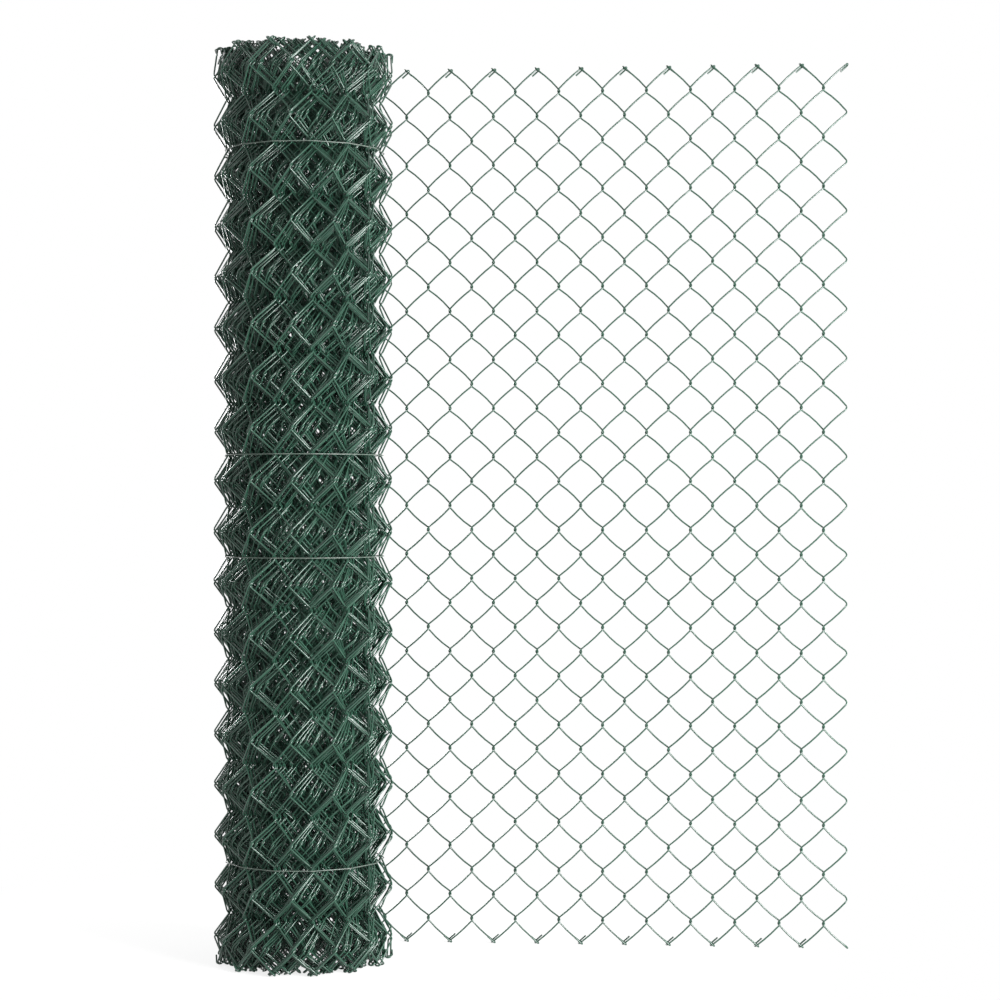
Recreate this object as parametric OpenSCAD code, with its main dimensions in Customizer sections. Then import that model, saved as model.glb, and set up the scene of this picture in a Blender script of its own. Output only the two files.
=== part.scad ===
// Roll of green coated chain-link fencing, standing on its end with its free end opened out.
// The origin is the middle of the roll's base: +Z runs up the roll and +X along the opened mesh.

/* [Mesh] */
// Height of the fencing, from the lower tips to the upper ones
fence_h = 1500; // [1000:50:2000]
// Diamonds in that height
rows = 18; // [12:1:24]
// Thickness of the coated wire
wire_d = 2.8; // [2.2:0.1:3.2]
// Distance between two columns of knuckles in the opened mesh
column_w = 37.4; // [34:0.2:42]
// Flats round the wire
wire_sides = 4; // [4:1:8]
// Distance of an arm's middle from the middle of the mesh
arm_y = 2.9; // [2.4:0.1:3.6]
// Free play where two wires hook
hook_play = 0.25; // [0.15:0.05:0.5]

/* [Selvage] */
// Length of wire that is turned back at a tip
turned_back = 14; // [8:1:20]
// How far a turned-back end leans out of line with its arm
turn_lean = 20; // [0:1:25]

/* [Opened mesh] */
// Zigzag wires in the opened mesh
open_wires = 24; // [4:1:40]
// How far past its leaving point the first column stands
first_column = 4.3; // [0:0.1:8]
// Turn of the opened mesh towards the front
open_yaw = 4.4; // [0:0.2:10]

/* [Roll] */
// Radius over the knuckles that stand out
bulge_r = 148.5; // [144:0.5:156]
// Radius in the hollows between them
waist_r = 127.5; // [122:0.5:132]
// Radius over the flared tips at both ends
flare_r = 142; // [138:1:144]
// Height of the level band at the flare, past the turned-back ends of the wires
flare_h = 18; // [14:1:24]
// Radius of the open eye in the middle
bore_r = 35; // [25:1:45]
// Height of the level band at a knuckle or a hollow
band_h = 12; // [6:1:16]
// Turns of mesh in the roll
turns = 26; // [12:1:28]
// Depth to which the ends show the gaps between turns
gap_depth = 8; // [4:1:14]
// Clearance between pieces that lie against each other
seat_gap = 0.3; // [0.2:0.05:0.5]

/* [Tie wires] */
// Thickness of a tie wire
tie_d = 1.8; // [1.4:0.1:2.4]
// Rows of the mesh that the ties lie in, counted from the base
tie_rows = [2, 8, 10, 16]; // [1:1:17]
// Length of the twisted ends
twist_l = 24; // [16:1:26]
// Angle at which they cross
twist_a = 5; // [3:1:8]
// Where round the roll the twisted ends are, from +X
twist_at = 150; // [120:5:170]

/* [Hidden] */
row_h = fence_h / rows;
// Wires that hook lie this far apart, middle to middle
hook_gap = wire_d + hook_play;
// Half the width of one zigzag wire, measured to the middle of its bends
half_w = (column_w + hook_gap) / 2;
// Slope of the arms, such that two arms and two bends rise by one row
arm_a = atan(row_h / 2 / (2 * half_w + 2 * arm_y));
// Half the height over which a wire passes through the mesh at a knuckle
bend_h = arm_y * tan(arm_a);
// A turned-back end goes round the arm of the next wire
turn_r = arm_y + hook_gap / 2;
// Widest radius of the roll's body
body_r = max(bulge_r, waist_r);
second_column = first_column + column_w + hook_gap / 2 - arm_y;
// The opened mesh leaves the roll where its second column clears the body, and its first the rest
leave_r = max(
    arm_y + sqrt(pow(body_r + wire_d / 2 + seat_gap, 2) - pow(second_column, 2)),
    max(flare_r, waist_r) + arm_y + hook_gap + wire_d / 2 + seat_gap);
turn_pitch = (flare_r - bore_r - wire_d) / (turns - 1);
tie_r = waist_r + seat_gap + tie_d / 2;
wire_green = [0.11, 0.29, 0.23];
tie_green = [0.42, 0.52, 0.45];
$fn = 48;

function two_digits(i) = str(i < 10 ? "0" : "", i);
function wire_name(i) = str("open_wire_", two_digits(i));
function tie_name(i) = str("tie_wire_", i);

// Direction of an arm: side is 1 where it rises to the right and -1 to the left
function arm_dir(side) = [side * cos(arm_a), 0, sin(arm_a)];
// Point at height z on arm k: arms that rise to the right lie in front
function arm_side(k) = k % 2 == 0 ? 1 : -1;
function arm_point(k, z) =
    let (side = arm_side(k), mid_z = (k + 0.5) * row_h / 2)
    [side * (z - mid_z) / tan(arm_a), -side * arm_y, z];
// Ring of corners where a wire that comes along dir meets the plane through p with normal n
function mitre(ring, p, dir, n) = [for (v = ring) v + dir * ((p - v) * n) / (dir * n)];

// Wire through a row of points, mitred at each of them
module wire_through(points) {
    last = len(points) - 1;
    dirs = [for (i = [0 : last - 1]) (points[i + 1] - points[i]) / norm(points[i + 1] - points[i])];
    e1 = cross(dirs[0], [1, 0, 0]) / norm(cross(dirs[0], [1, 0, 0]));
    e2 = cross(dirs[0], e1);
    first = [for (j = [0 : wire_sides - 1])
        points[0] + wire_d / 2 * (cos(360 * j / wire_sides) * e1 + sin(360 * j / wire_sides) * e2)];
    rings = [for (i = 0, ring = first; i <= last; i = i + 1,
        ring = i > last ? ring : mitre(ring, points[i], dirs[i - 1], dirs[i - 1] + dirs[min(i, last - 1)])) ring];
    polyhedron(
        points = [for (ring = rings) each ring],
        faces = concat(
            [[for (j = [0 : wire_sides - 1]) j]],
            [for (i = [0 : last - 1], j = [0 : wire_sides - 1])
                let (k = (j + 1) % wire_sides, a = i * wire_sides, b = a + wire_sides) [a + j, b + j, b + k, a + k]],
            [[for (j = [wire_sides - 1 : -1 : 0]) last * wire_sides + j]]));
}

// Points of a wire's end at p, turned back on itself towards y_side, round the wire that it meets there
function turned_end(p, dir, y_side, lean) =
    let (
        r = turn_r / cos(lean),
        below = sign(dir[0]) * [dir[2], 0, -dir[0]],
        inner = cos(lean) * [0, y_side, 0] + sin(lean) * (dir[2] < 0 ? -below : below))
    [for (a = [30, 90, 150]) p + r * (1 - cos(a)) * inner + r * sin(a) * dir,
        p + 2 * r * inner - turned_back * dir];

function reversed(list) = [for (i = [len(list) - 1 : -1 : 0]) list[i]];

// One zigzag wire, from the turned end at its foot to the one at its top, both on its left
module zigzag_wire() {
    last = 2 * rows - 1;
    foot = arm_point(0, wire_d / 2 + turn_r / cos(turn_lean) * sin(arm_a));
    top = arm_point(last, fence_h - wire_d / 2 - turn_r * sin(arm_a));
    wire_through(concat(
        reversed(turned_end(foot, -arm_dir(1), 1, turn_lean)),
        [for (k = [1 : last], side = [-1, 1])
            arm_point(side < 0 ? k - 1 : k, k * row_h / 2 + side * bend_h)],
        turned_end(top, arm_dir(-1), -1, 0)));
}

// Wire i of the opened mesh: every second one is turned end for end, and all hook into their neighbours
module open_wire(i) {
    color(wire_green)
    rotate([0, 0, -open_yaw])
    translate([first_column + (i - 0.5) * column_w, leave_r, 0])
    if (i % 2 == 1) zigzag_wire();
    else translate([0, 0, fence_h]) rotate([0, 180, 0]) zigzag_wire();
}

// Half of the roll's section, with the gaps between its turns cut into both ends
module roll_section() {
    difference() {
        polygon(concat(
            [[bore_r, 0], [flare_r, 0], [flare_r, flare_h]],
            [for (k = [0 : rows - 1]) each concat(
                [[bulge_r, (k + 0.5) * row_h - band_h / 2], [bulge_r, (k + 0.5) * row_h + band_h / 2]],
                k == rows - 1 ? [] :
                [[waist_r, (k + 1) * row_h - band_h / 2], [waist_r, (k + 1) * row_h + band_h / 2]])],
            [[flare_r, fence_h - flare_h], [flare_r, fence_h], [bore_r, fence_h]]));
        for (i = [0 : turns - 2], z = [0, fence_h])
            translate([bore_r + i * turn_pitch + wire_d, z - gap_depth])
                square([turn_pitch - wire_d, 2 * gap_depth]);
    }
}

module wound_roll() {
    color(wire_green) rotate_extrude($fn = 96) roll_section();
}

// Tie wire in one hollow, with its two ends twisted together at the back
module tie_wire(i) {
    color(tie_green) translate([0, 0, tie_rows[i - 1] * row_h]) {
        rotate_extrude($fn = 96) translate([tie_r, 0]) circle(d = tie_d, $fn = 24);
        rotate([0, 0, twist_at]) translate([tie_r + tie_d / 2, 0, 0]) rotate([-90, 0, -40])
            for (side = [-1, 1])
                rotate([0, side * twist_a, 0]) translate([-side * tie_d, side * tie_d * 0.4, 0])
                    cylinder(d = tie_d, h = twist_l, $fn = 24);
    }
}

wound_roll();
for (i = [1 : len(tie_rows)]) tie_wire(i);
for (i = [1 : open_wires]) open_wire(i);
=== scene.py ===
# %% [markdown]
# A roll of green chain-link fencing, standing on its end, with its free end opened out.
#
# The real thing is nothing but wire: some 535 zigzag wires, each hooked into the next one along its
# whole height. Most of them are wound up, and the last 24 stand in a flat sheet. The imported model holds
# the roll as one turned solid, which is enough for its weight and its rest. Here every wire is drawn.
#
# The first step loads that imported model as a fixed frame, so that what is drawn lands where it stands.

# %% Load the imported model
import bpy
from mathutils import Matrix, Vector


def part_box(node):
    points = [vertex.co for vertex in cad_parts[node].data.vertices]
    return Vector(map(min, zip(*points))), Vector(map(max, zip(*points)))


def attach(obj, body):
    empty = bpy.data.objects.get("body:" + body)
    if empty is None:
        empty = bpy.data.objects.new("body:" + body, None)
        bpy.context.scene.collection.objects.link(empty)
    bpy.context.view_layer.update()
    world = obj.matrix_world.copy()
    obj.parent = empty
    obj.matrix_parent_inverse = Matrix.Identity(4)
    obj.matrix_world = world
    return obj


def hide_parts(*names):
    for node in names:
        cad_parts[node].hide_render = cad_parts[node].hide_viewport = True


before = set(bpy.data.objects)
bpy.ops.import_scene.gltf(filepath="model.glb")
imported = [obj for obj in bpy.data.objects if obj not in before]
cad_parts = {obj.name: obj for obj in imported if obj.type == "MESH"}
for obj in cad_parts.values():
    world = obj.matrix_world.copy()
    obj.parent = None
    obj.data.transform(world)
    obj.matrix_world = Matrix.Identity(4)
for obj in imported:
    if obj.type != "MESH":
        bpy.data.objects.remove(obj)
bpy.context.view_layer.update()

# %% The other modules
import math

import bmesh
import bpy
from mathutils import Vector

# %% [markdown]
# Chain-link has few driving sizes. The fence's height and the number of diamonds in it give the rows,
# and the distance between two columns of knuckles gives the width of a wire. All lengths are in metres.

# %% Sizes of the mesh
open_nodes = sorted(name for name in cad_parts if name.startswith("open_wire_"))
tie_nodes = sorted(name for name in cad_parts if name.startswith("tie_wire_"))

fence_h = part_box("wound_roll")[1].z
rows = 18
row_h = fence_h / rows
column_w = 0.0374
wire_r = 0.0014
arm_y = 0.0029
hook_gap = 0.00305

half_w = (column_w + hook_gap) / 2
arm_slope = (row_h / 2) / (2 * half_w + 2 * arm_y)
arm_angle = math.atan(arm_slope)
last_arm = 2 * rows - 1
print("row", round(row_h, 4), "slope of the arms", round(math.degrees(arm_angle), 1), "degrees")

# %% [markdown]
# Seen from above, the mesh is a chain of straight links: each zigzag wire spans from one column of
# knuckles to the next. The opened end is a straight line of columns, numbered from 0 where it leaves the
# roll. Going inwards the columns count down, -1, -2 and so on, along a spiral.
#
# The spiral isn't even. The outermost turn lies loosely, those under it are packed so closely that their
# knuckles poke through each other's diamonds, and round the eye the turns get easier again.

# %% Radius of a turn
leave_r = 0.14965
outer_r = 0.1366
loose_turns = 1.0
loose_pitch = 0.0078
packed_r = 0.098
packed_pitch = 0.0025
easy_pitch = 0.00466
core_r = 0.037


def middle_radius(turned):
    """Radius of the middle of the mesh after so many turns inwards."""
    radius = outer_r - loose_pitch * min(turned, loose_turns)
    if turned <= loose_turns:
        return radius
    packed_turns = (radius - packed_r) / packed_pitch
    radius -= packed_pitch * min(turned - loose_turns, packed_turns)
    return radius - easy_pitch * max(0.0, turned - loose_turns - packed_turns)


print("radius after 0, 5, 15 and 25 turns:", [round(middle_radius(turned), 4) for turned in (0, 5, 15, 25)])

# %% [markdown]
# The wound mesh is pleated like a bellows. Knuckles of the odd columns stand out, those of the even
# columns lie in, and because the two kinds stand at different heights, the roll gets its bulges and its
# waists. In the outer part each turn follows the pleats of the one on it, so the angle from column to
# column stays the same there, and the pleats get deeper inwards. The law of cosines gives every angle,
# because all links are as long. On its right side the outermost turn springs out a little.

# %% Columns of knuckles, seen from above
leave_angle = math.radians(90 - 4.4)
along = Vector((math.sin(leave_angle), -math.cos(leave_angle)))
first_column = 0.0043
settle_columns = 4.5
column_step = math.radians(13.99)
locked_r = 0.107
core_pleat = 0.006
spring_out = 0.007
spring_column = 19.5
spring_columns = 6


def eased(x):
    """Goes smoothly from 0 to 1 as x does."""
    x = min(1.0, max(0.0, x))
    return x * x * (3 - 2 * x)


def locked_pleat(radius):
    """Depth of the pleats at which a link spans one column step at this radius."""
    spare = column_w ** 2 - 2 * radius ** 2 * (1 - math.cos(column_step))
    return math.sqrt(spare / (2 * (1 + math.cos(column_step))))


def pleat_depth(radius):
    """How far the knuckles stand in and out of the middle of their turn."""
    if radius > locked_r:
        return locked_pleat(min(radius, outer_r))
    share = (radius - core_r) / (locked_r - core_r)
    return core_pleat + (locked_pleat(locked_r) - core_pleat) * share


def wound_columns():
    """Angle and radius of each column of the wound mesh, from column 0 inwards."""
    foot = leave_r * Vector((math.cos(leave_angle), math.sin(leave_angle))) + first_column * along
    angle = math.atan2(foot.y, foot.x)
    radius = foot.length
    found = [(angle, radius)]
    while True:
        count = len(found)
        settled = eased(count / settle_columns)
        turned = (angle - found[0][0]) / (2 * math.pi)
        middle = leave_r + (middle_radius(turned) - leave_r) * settled
        if middle < core_r:
            return found
        depth = pleat_depth(middle) * settled
        spring = spring_out * eased(1 - abs(count - spring_column) / spring_columns)
        next_radius = middle + (depth if count % 2 else -depth) + spring
        cosine = (radius ** 2 + next_radius ** 2 - column_w ** 2) / (2 * radius * next_radius)
        angle += math.acos(min(1.0, max(-1.0, cosine)))
        radius = next_radius
        found.append((angle, radius))


wound = wound_columns()
wound_wires = len(wound) - 1
print(wound_wires, "wound wires in", round((wound[-1][0] - wound[0][0]) / 2 / math.pi, 1), "turns")

# %% [markdown]
# A real roll is never that regular. Its columns wander by a few millimetres. They do so in slow waves, so
# that neighbours move together and stay hooked. Each wave is the sum of a broad and a narrow one, which
# climb the roll and run round it at different rates. No random numbers are needed.

# %% A slow wave over the roll
broad_up = 7.0
broad_round = 0.72
narrow_up = 17.0
narrow_round = -1.87
narrow_shift = 2.3
narrow_share = 0.6


def wander(angle, z, phase):
    """A slow wave between -1 and 1, which differs from one turn to the next."""
    broad = math.sin(broad_up * z + broad_round * angle + phase)
    narrow = math.sin(narrow_up * z + narrow_round * angle + narrow_shift * phase)
    return (broad + narrow_share * narrow) / (1 + narrow_share)


print("wave at foot, middle and top:", [round(wander(0, z, 0), 2) for z in (0, fence_h / 2, fence_h)])

# %% [markdown]
# The deeper a turn lies, the more its columns wander round the roll, and between the ends its rows slip
# up or down a little too. At both ends nothing holds the last knuckles in: their tips flare, and lean
# further to either side.

# %% Where a column stands at a height
flare = 0.014
flare_height = 0.8 * row_h
wander_round = 0.0020
wander_deep = 0.0080
wander_end = 0.0080
wander_end_height = 1.5 * row_h
wander_out = 0.0010
slip_deep = 0.0120
deep_from = 50
deep_over = 110
end_from = 20
end_over = 20
out_phase = 1.0
round_phase = 4.0
slip_phase = 2.2


def deep(number):
    """0 in the opened mesh and the two outermost turns, 1 from the seventh turn inwards."""
    return eased((-number - deep_from) / deep_over)


def column_at(number, z):
    """Plan position of a column of knuckles at height z."""
    if number >= 0:
        foot = leave_r * Vector((math.cos(leave_angle), math.sin(leave_angle)))
        return foot + (first_column + number * column_w) * along
    angle, radius = wound[-number]
    settled = eased(-number / settle_columns)
    from_end = min(z, fence_h - z)
    if number % 2 == 0:
        radius += flare * settled * (1 - eased(from_end / flare_height))
    radius += wander_out * settled * wander(angle, z, out_phase)
    loose_end = (1 - eased(from_end / wander_end_height)) * eased((-number - end_from) / end_over)
    round_by = wander_round + wander_deep * deep(number) + wander_end * loose_end
    angle += round_by * settled * wander(angle, z, round_phase) / radius
    return Vector((radius * math.cos(angle), radius * math.sin(angle)))


def slip(number, z):
    """How far a turn has slipped upwards at height z. At both ends it hasn't."""
    if number >= 0:
        return 0.0
    from_end = min(z, fence_h - z)
    return slip_deep * deep(number) * eased(from_end / row_h) * wander(wound[-number][0], z, slip_phase)


print("column 300 has slipped", round(1000 * slip(-300, fence_h / 2), 1), "mm up at half the height")

# %% [markdown]
# One zigzag wire. Its arms rise to the right in front and to the left at the back, and at each side it
# bends from one to the other, round the bend of its neighbour. Each bend is two arcs: the wire first
# turns to run through the mesh and then back along it. At both tips the wire is turned back round the
# arm of its neighbour, so that the fence doesn't come undone.
#
# In the opened mesh the arms aren't quite straight. They bow away from the middle of the height, those
# at the back more than those in front.

# %% The centre line of one wire
turned_back = 0.014
turn_r = arm_y + hook_gap / 2
crown = 0.0030
foot_lean = math.radians(13)
run = math.cos(arm_angle)
rise = math.sin(arm_angle)


def arc(start, leaving, arriving, steps):
    """Points on the arc that starts at start along leaving and ends along arriving."""
    sweep = leaving.angle(arriving)
    radius = arm_y / (math.tan(sweep / 2) * run)
    inward = (arriving - math.cos(sweep) * leaving) / math.sin(sweep)
    points = []
    for step in range(1, steps + 1):
        turn = sweep * step / steps
        points.append(start + radius * (math.sin(turn) * leaving + (1 - math.cos(turn)) * inward))
    return points


def bend(number, steps):
    """The bend at half row number: on the right where number is odd, and else on the left."""
    side = 1 if number % 2 else -1
    start = Vector((side * (half_w - arm_y), -side * arm_y, number * row_h / 2 - 2 * arm_y * arm_slope))
    through = Vector((0, side * run, rise))
    first = arc(start, Vector((side * run, 0, rise)), through, steps)
    second = arc(first[-1], through, Vector((-side * run, 0, rise)), steps)
    return [start] + first + second


def bowed(start, end, side, bow, steps):
    """Points between the ends of an arm that bows away from the middle of the height."""
    outwards = Vector((-side * rise, 0, run)) * (1 if (start.z + end.z) / 2 > fence_h / 2 else -1)
    points = []
    for step in range(1, steps + 1):
        share = step / (steps + 1)
        points.append(start.lerp(end, share) + 4 * share * (1 - share) * bow * outwards)
    return points


def turned_end(tip, heading, towards, lean, steps):
    """A flattened half circle and a short leg that turn the wire back on itself."""
    radius = turn_r / math.cos(lean)
    above = Vector((-abs(heading.z), 0, abs(heading.x)))
    inner = math.cos(lean) * Vector((0, towards, 0)) + math.sin(lean) * above
    points = []
    for step in range(steps + 1):
        turn = math.pi * step / steps
        points.append(tip + radius * (1 - math.cos(turn)) * inner + crown * math.sin(turn) * heading)
    points.append(tip + 2 * radius * inner - turned_back * heading)
    return points


def zigzag_wire(steps, end_steps, bow_steps=0, bow_front=0.0, bow_back=0.0):
    """Centre line of a wire from foot to top, in its own frame, with both tips on its left."""
    foot_z = wire_r + crown * rise
    foot = Vector(((foot_z - row_h / 4) / arm_slope, -arm_y, foot_z))
    top_z = fence_h - wire_r - crown * rise
    top = Vector((-(top_z - (last_arm + 0.5) * row_h / 2) / arm_slope, arm_y, top_z))
    line = turned_end(foot, Vector((-run, 0, -rise)), 1, foot_lean, end_steps)[::-1]
    for number in range(1, last_arm + 1):
        side = 1 if number % 2 else -1
        turn = bend(number, steps)
        line += bowed(line[-1], turn[0], side, bow_front if side > 0 else bow_back, bow_steps)
        line += turn
    line += bowed(line[-1], top, -1, bow_back, bow_steps)
    return line + turned_end(top, Vector((-run, 0, rise)), -1, 0.0, end_steps)


print("points in the plainest wire:", len(zigzag_wire(1, 3)))

# %% [markdown]
# A wire is set between its two columns. Every second one is turned end for end, so that its tips meet
# those of the wire before it.

# %% Set a wire between two columns
def set_wire(line, number):
    """The centre line of the wire that spans from column number to the next, in the row frame."""
    placed = []
    for point in line:
        x, y, z = point
        if number % 2:
            x, z = -x, fence_h - z
        left = column_at(number, z)
        right = column_at(number + 1, z)
        across = (right - left).normalized()
        out = Vector((-across.y, across.x))
        spot = (left + right) / 2 + x * across + y * out
        placed.append((spot.x, spot.y, z + slip(number, z)))
    return placed


print("the first open wire ends at", [round(value, 3) for value in set_wire(zigzag_wire(1, 3), 0)[-1]])

# %% [markdown]
# A wire is easiest to make as a curve with a round bevel. A curve of straight pieces through the points
# keeps control of how many faces each wire takes, and the result is turned into a mesh.

# %% Make wires from their centre lines
def wires(name, lines, radius, sides):
    """One mesh object of round wires along the lines."""
    curve = bpy.data.curves.new(name, "CURVE")
    curve.dimensions = "3D"
    curve.bevel_depth = radius
    curve.bevel_resolution = sides // 2 - 2
    curve.use_fill_caps = True
    for line in lines:
        spline = curve.splines.new("POLY")
        spline.points.add(len(line) - 1)
        spline.points.foreach_set("co", [value for point in line for value in (*point, 1.0)])
        spline.use_smooth = True
    holder = bpy.data.objects.new(name + "_line", curve)
    bpy.context.scene.collection.objects.link(holder)
    depsgraph = bpy.context.evaluated_depsgraph_get()
    mesh = bpy.data.meshes.new_from_object(holder.evaluated_get(depsgraph))
    mesh.name = name
    piece = bpy.data.objects.new(name, mesh)
    bpy.context.scene.collection.objects.link(piece)
    bpy.data.objects.remove(holder)
    mesh.materials.clear()
    triangles = sum(len(polygon.vertices) - 2 for polygon in mesh.polygons)
    print(name, len(lines), "wires,", triangles, "triangles")
    return piece


# %% [markdown]
# The opened mesh is what a viewer sees best, so its wires get the most faces, and bowed arms. In the
# roll the wires get plainer towards the middle, where only their ends and some glints show.

# %% The opened mesh and the wound turns
fine_line = zigzag_wire(2, 6, bow_steps=2, bow_front=0.0010, bow_back=0.0017)
open_lines = [set_wire(fine_line, number) for number in range(len(open_nodes))]
open_mesh = wires("open_mesh", open_lines, wire_r, 8)

outer_wires = 53
middle_wires = 158
outer_line = zigzag_wire(2, 6)
middle_line = zigzag_wire(2, 4)
inner_line = zigzag_wire(1, 3)
half_way = (middle_wires + wound_wires) // 2

layers = [
    ("outer_turns", outer_line, 0, outer_wires, 8),
    ("middle_turns", middle_line, outer_wires, middle_wires, 4),
    ("inner_turns", inner_line, middle_wires, half_way, 4),
    ("core_turns", inner_line, half_way, wound_wires, 4),
]
turn_pieces = []
for name, line, first, last, sides in layers:
    lines = [set_wire(line, -number) for number in range(first + 1, last + 1)]
    turn_pieces.append(wires(name, lines, wire_r, sides))

# %% [markdown]
# The ties are plain binding wire, pulled tight round the roll in a waist, which means straight from one
# knuckle of the outer turn to the next. Their two ends are twisted together at the back.

# %% The way of a tie wire
tie_r = 0.0009
tie_rest = arm_y + wire_r + tie_r
corner = 0.004
tie_first = 6
tie_last = 30
twist_start = 0.002
twist_length = 0.022
twist_turn = 0.007
twist_steps = 30
twist_at = math.radians(200)
twist_way = Vector((math.cos(twist_at), math.sin(twist_at), 0))


def tie_corners(height):
    """The places where a tie bears on the knuckles that lie in, once round the roll."""
    corners = []
    for number in range(tie_first, tie_last + 1, 2):
        spot = column_at(-number, height)
        corners.append(Vector((*spot, height)) + tie_rest * Vector((*spot, 0)).normalized())
    return corners


def tie_line(height):
    """From the tip of one twisted end round the roll to that of the other."""
    corners = tie_corners(height)
    base = corners[0].lerp(corners[-1], 0.5)
    side = Vector((-twist_way.y, twist_way.x, 0))
    ends = []
    for turn_from in (0.0, math.pi):
        strand = []
        for step in range(twist_steps + 1):
            share = step / twist_steps
            turn = turn_from + 2 * math.pi * share * twist_length / twist_turn
            swing = tie_r * (math.cos(turn) * side + math.sin(turn) * Vector((0, 0, 1)))
            strand.append(base + (twist_start + share * twist_length) * twist_way + swing)
        ends.append(strand)
    ring = []
    for before, spot, after in zip([base] + corners[:-1], corners, corners[1:] + [base]):
        back = (before - spot).normalized()
        ahead = (after - spot).normalized()
        ring += [spot + corner * back, spot + corner * (back + ahead) / 4, spot + corner * ahead]
    return ends[0][::-1] + ring + ends[1]


print("knuckles that a tie bears on:", len(tie_corners(row_h)))

# %% The tie wires
tie_pieces = []
for name in tie_nodes:
    low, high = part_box(name)
    tie_pieces.append(wires("binding_" + name[-1], [tie_line((low.z + high.z) / 2)], tie_r, 8))

# %% [markdown]
# Materials are node trees. Wiring them one by one is hard to read, so this small class stands for the
# output of a node and lets the tree be written as a sum. Anything that isn't arithmetic goes through
# one method, which takes the node's type, its settings and what its sockets are given.

# %% Shader arithmetic
class Shade:
    """The output of a node, which can be calculated with."""

    def __init__(self, tree, output=None):
        self.tree = tree
        self.output = output

    def node(self, kind, settings, inputs, result=0):
        """Adds a node, sets it, and then gives its sockets their values or links."""
        made = self.tree.nodes.new("ShaderNode" + kind)
        for setting, value in settings.items():
            setattr(made, setting, value)
        for socket, value in inputs.items():
            if isinstance(value, Shade):
                self.tree.links.new(value.output, made.inputs[socket])
            else:
                made.inputs[socket].default_value = value
        return Shade(self.tree, made.outputs[result])

    def math(self, operation, first, second):
        return self.node("Math", {"operation": operation}, {0: first, 1: second})

    def __add__(self, other):
        return self.math("ADD", self, other)

    def __mul__(self, other):
        return self.math("MULTIPLY", self, other)

    __radd__ = __add__
    __rmul__ = __mul__

    def noise(self, place, scale, detail):
        """Cloudy noise around 0.5 at a place in space."""
        return self.node("TexNoise", {}, {"Vector": place, "Scale": scale, "Detail": detail})

    def ramp(self, low, high):
        """0 below low, 1 above high, and smooth between."""
        inputs = {"Value": self, "From Min": low, "From Max": high}
        return self.node("MapRange", {"interpolation_type": "SMOOTHSTEP"}, inputs)

    def between(self, first, second):
        """The first colour where this is 0 and the second where it is 1."""
        inputs = {"Factor": self, "A": (*first, 1), "B": (*second, 1)}
        return self.node("Mix", {"data_type": "RGBA"}, inputs, 2)


# %% [markdown]
# The wire is steel in a green plastic coating. It is extruded on, so its colour is even, but it isn't
# perfect: the tone drifts along the roll, the gloss differs from wire to wire, and the skin has fine
# waves that break up the long highlights.

# %% The green coating
def finish(name):
    """A new material, with its tree as a Shade and its shader."""
    material = bpy.data.materials.new(name)
    material.use_nodes = True
    tree = material.node_tree
    return material, Shade(tree), tree.nodes["Principled BSDF"]


def feed(shade, shader, socket):
    """Links a value to a socket of the shader."""
    shade.tree.links.new(shade.output, shader.inputs[socket])


moss_green = (0.0090, 0.0340, 0.0215)
pale_moss = (0.0125, 0.0430, 0.0270)

coating, start, shader = finish("green_coating")
place = start.node("TexCoord", {}, {}, "Object")
drift = start.noise(place, 9.0, 2.0)
skin = start.noise(place, 420.0, 3.0)
tone = (drift * 0.7 + skin * 0.3).ramp(0.34, 0.66)
feed(tone.between(moss_green, pale_moss), shader, "Base Color")
feed(0.22 + 0.14 * drift + 0.02 * skin, shader, "Roughness")
bumps = start.node("Bump", {}, {"Strength": 0.06, "Distance": 0.0002, "Height": skin})
feed(bumps, shader, "Normal")
print("green coating:", len(start.tree.nodes), "nodes")

# %% The tie wire's finish
dull_grey = (0.045, 0.065, 0.053)
scuffed_grey = (0.085, 0.100, 0.087)

tie_finish, start, shader = finish("tie_finish")
place = start.node("TexCoord", {}, {}, "Object")
scuff = start.noise(place, 160.0, 4.0)
feed(scuff.ramp(0.4, 0.7).between(dull_grey, scuffed_grey), shader, "Base Color")
feed(0.35 + 0.2 * scuff, shader, "Roughness")
print("tie finish:", len(start.tree.nodes), "nodes")

# %% [markdown]
# Every piece rides on the frame's root and takes its material, and the nodes of the packed model that
# it is drawn for are hidden.

# %% Finish the pieces and hide the nodes they are drawn for
for piece in [open_mesh] + turn_pieces:
    piece.data.materials.append(coating)
    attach(piece, "root")
for piece in turn_pieces:
    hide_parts("wound_roll")
for piece, node in zip(tie_pieces, tie_nodes):
    piece.data.materials.append(tie_finish)
    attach(piece, "root")
    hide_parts(node)
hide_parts(*open_nodes)
print("pieces handed on:", 1 + len(turn_pieces) + len(tie_pieces))

# %% [markdown]
# The photo has a plain white ground. A camera ray that meets the floor far from the roll sees white,
# and close to it sees partly the lit floor, so that a soft shadow stays where the roll stands. Rays that
# come off the glossy wires see the ground as the camera does.

# %% Rays that see the ground
def seen_directly(start):
    """1 for the camera's rays and those of mirrors and glass, and 0 for the rays that light things."""
    ray = start.node("LightPath", {}, {}, "Is Camera Ray")
    glossy = Shade(start.tree, ray.output.node.outputs["Is Glossy Ray"])
    clear = Shade(start.tree, ray.output.node.outputs["Is Transmission Ray"])
    return start.math("MAXIMUM", start.math("MAXIMUM", ray, glossy), clear)


# %% The floor
shadow_share = 0.20
shadow_from = 0.2
shadow_to = 0.9

floor_mesh = bpy.data.meshes.new("floor")
sheet = bmesh.new()
bmesh.ops.create_grid(sheet, x_segments=1, y_segments=1, size=20)
sheet.to_mesh(floor_mesh)
sheet.free()
floor = bpy.data.objects.new("floor", floor_mesh)
bpy.context.scene.collection.objects.link(floor)

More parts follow.
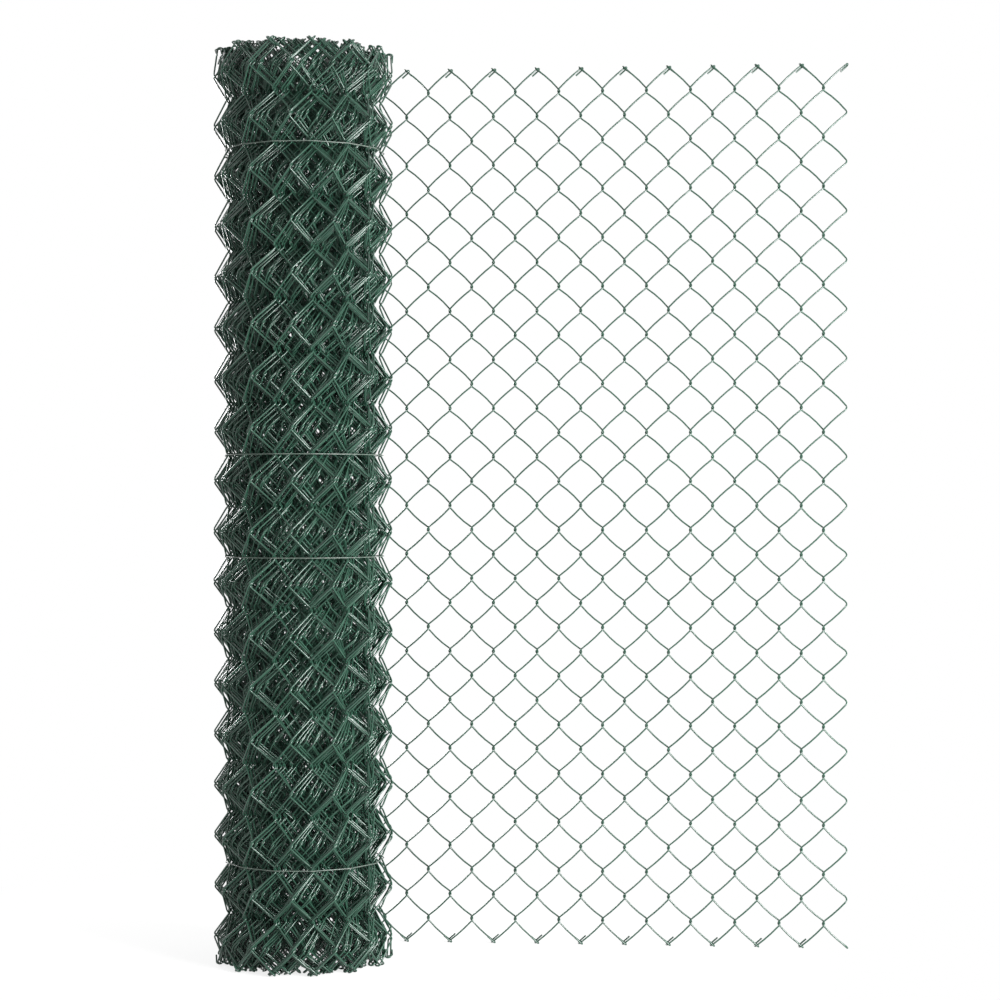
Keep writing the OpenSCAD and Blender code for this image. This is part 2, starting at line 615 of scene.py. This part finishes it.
floor_finish, start, shader = finish("pale_floor")
shader.inputs["Base Color"].default_value = (0.92, 0.92, 0.92, 1)
shader.inputs["Roughness"].default_value = 0.9
shader.inputs["Specular IOR Level"].default_value = 0.0
place = start.node("TexCoord", {}, {}, "Object")
away = start.node("VectorMath", {"operation": "LENGTH"}, {0: place}, "Value")
white = start.node("Emission", {}, {"Strength": 1.0})
faded = 1 - shadow_share + shadow_share * away.ramp(shadow_from, shadow_to)
share = seen_directly(start) * faded
lit = Shade(start.tree, shader.outputs[0])
ground = start.node("MixShader", {}, {0: share, 1: lit, 2: white})
start.tree.links.new(ground.output, start.tree.nodes["Material Output"].inputs["Surface"])
floor_mesh.materials.append(floor_finish)
print("floor finish:", len(start.tree.nodes), "nodes")

# %% [markdown]
# The light is a studio's: a broad soft box on the right, level with the middle of the roll, a weaker one
# on the left, one behind and one above. The world shows white to the camera and to reflections, but
# lights dimly, so that the inside of the roll stays dark.

# %% The world
world_light = 0.52
scene = bpy.context.scene
world = bpy.data.worlds.new("studio")
scene.world = world
world.use_nodes = True
start = Shade(world.node_tree)
backdrop = world.node_tree.nodes["Background"]
backdrop.inputs["Color"].default_value = (1, 1, 1, 1)
feed(world_light + (1 - world_light) * seen_directly(start), backdrop, "Strength")
print("world:", len(start.tree.nodes), "nodes")


# %% The lamps
def lamp(name, spot, target, width, height, power):
    """A soft rectangular lamp at spot, aimed at target."""
    light = bpy.data.lights.new(name, "AREA")
    light.shape = "RECTANGLE"
    light.size = width
    light.size_y = height
    light.energy = power
    holder = bpy.data.objects.new(name, light)
    scene.collection.objects.link(holder)
    holder.location = spot
    holder.rotation_euler = (Vector(target) - Vector(spot)).to_track_quat("-Z", "Y").to_euler()
    print("lamp", name, power, "W")


lamp("key", (2.1, -1.6, 0.76), (0, 0, 0.75), 1.2, 0.9, 228)
lamp("fill", (-1.6, -2.9, 0.8), (0, 0, 0.75), 0.8, 1.2, 24)
lamp("back", (-1.5, 2.6, 1.3), (0, 0, 0.75), 0.9, 1.2, 90)
lamp("top", (0.3, 0.3, 3.2), (0.2, 0, 0.5), 1.6, 1.2, 15)

# %% [markdown]
# The camera looks level at the fence, from some 3.5 m away and a centimetre above its middle. The photo's
# width and the focal length in its pixels give the lens.

# %% The camera
focal_pixels = 2133
photo_pixels = 1000
camera_data = bpy.data.cameras.new("camera")
camera_data.sensor_width = 36
camera_data.lens = focal_pixels / photo_pixels * camera_data.sensor_width
camera = bpy.data.objects.new("camera", camera_data)
scene.collection.objects.link(camera)
camera.location = (0.3254, -3.531, 0.7595)
camera.rotation_euler = (math.radians(90), 0, 0)
scene.camera = camera
scene.view_settings.view_transform = "Standard"
print("lens:", round(camera_data.lens, 1), "mm")
